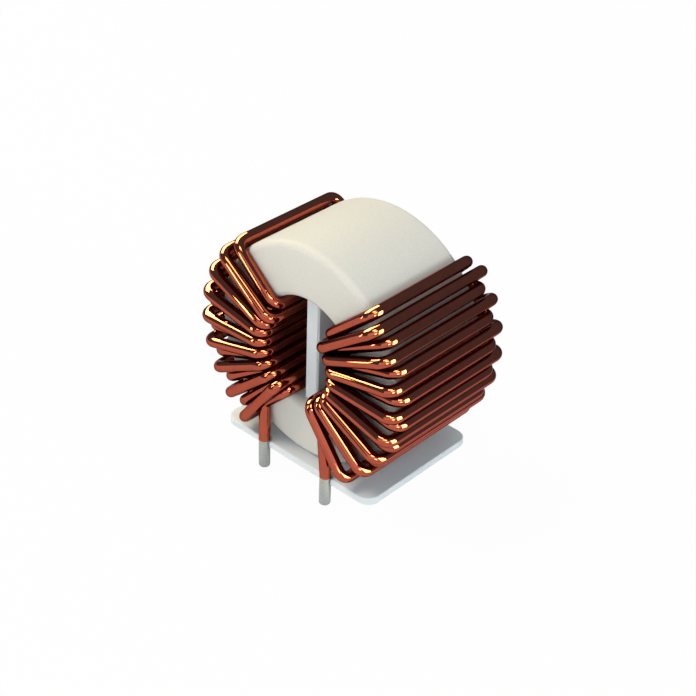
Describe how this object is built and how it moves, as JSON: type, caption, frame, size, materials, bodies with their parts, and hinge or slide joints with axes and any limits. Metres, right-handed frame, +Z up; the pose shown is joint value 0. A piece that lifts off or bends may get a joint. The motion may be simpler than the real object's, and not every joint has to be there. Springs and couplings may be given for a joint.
{
  "type": "common mode choke",
  "caption": "Toroidal common mode choke for through-hole mounting: coated ring core on edge, a divided bore, two mirrored wire windings in two layers and a flat base plate.",
  "frame": {"origin": "centre of the base plate's underside, which rests on the circuit board", "axes": "+Z up from the board, +X along the base plate's long side, +Y along the core's axis away from the front face"},
  "size_m": [0.039, 0.0258, 0.04],
  "materials": {
    "plate_plastic": "satin moulded plastic",
    "core_coating": "fine-grained powder coating over ferrite",
    "divider_plastic": "satin sheet plastic",
    "enamelled_copper": "glossy clear enamel over copper, with tinned ends"
  },
  "bodies": {
    "root": {"base_plate": "plate_plastic", "toroid_core": "core_coating", "divider": "divider_plastic", "winding_right": "enamelled_copper", "winding_left": "enamelled_copper"}
  },
  "joints": []
}
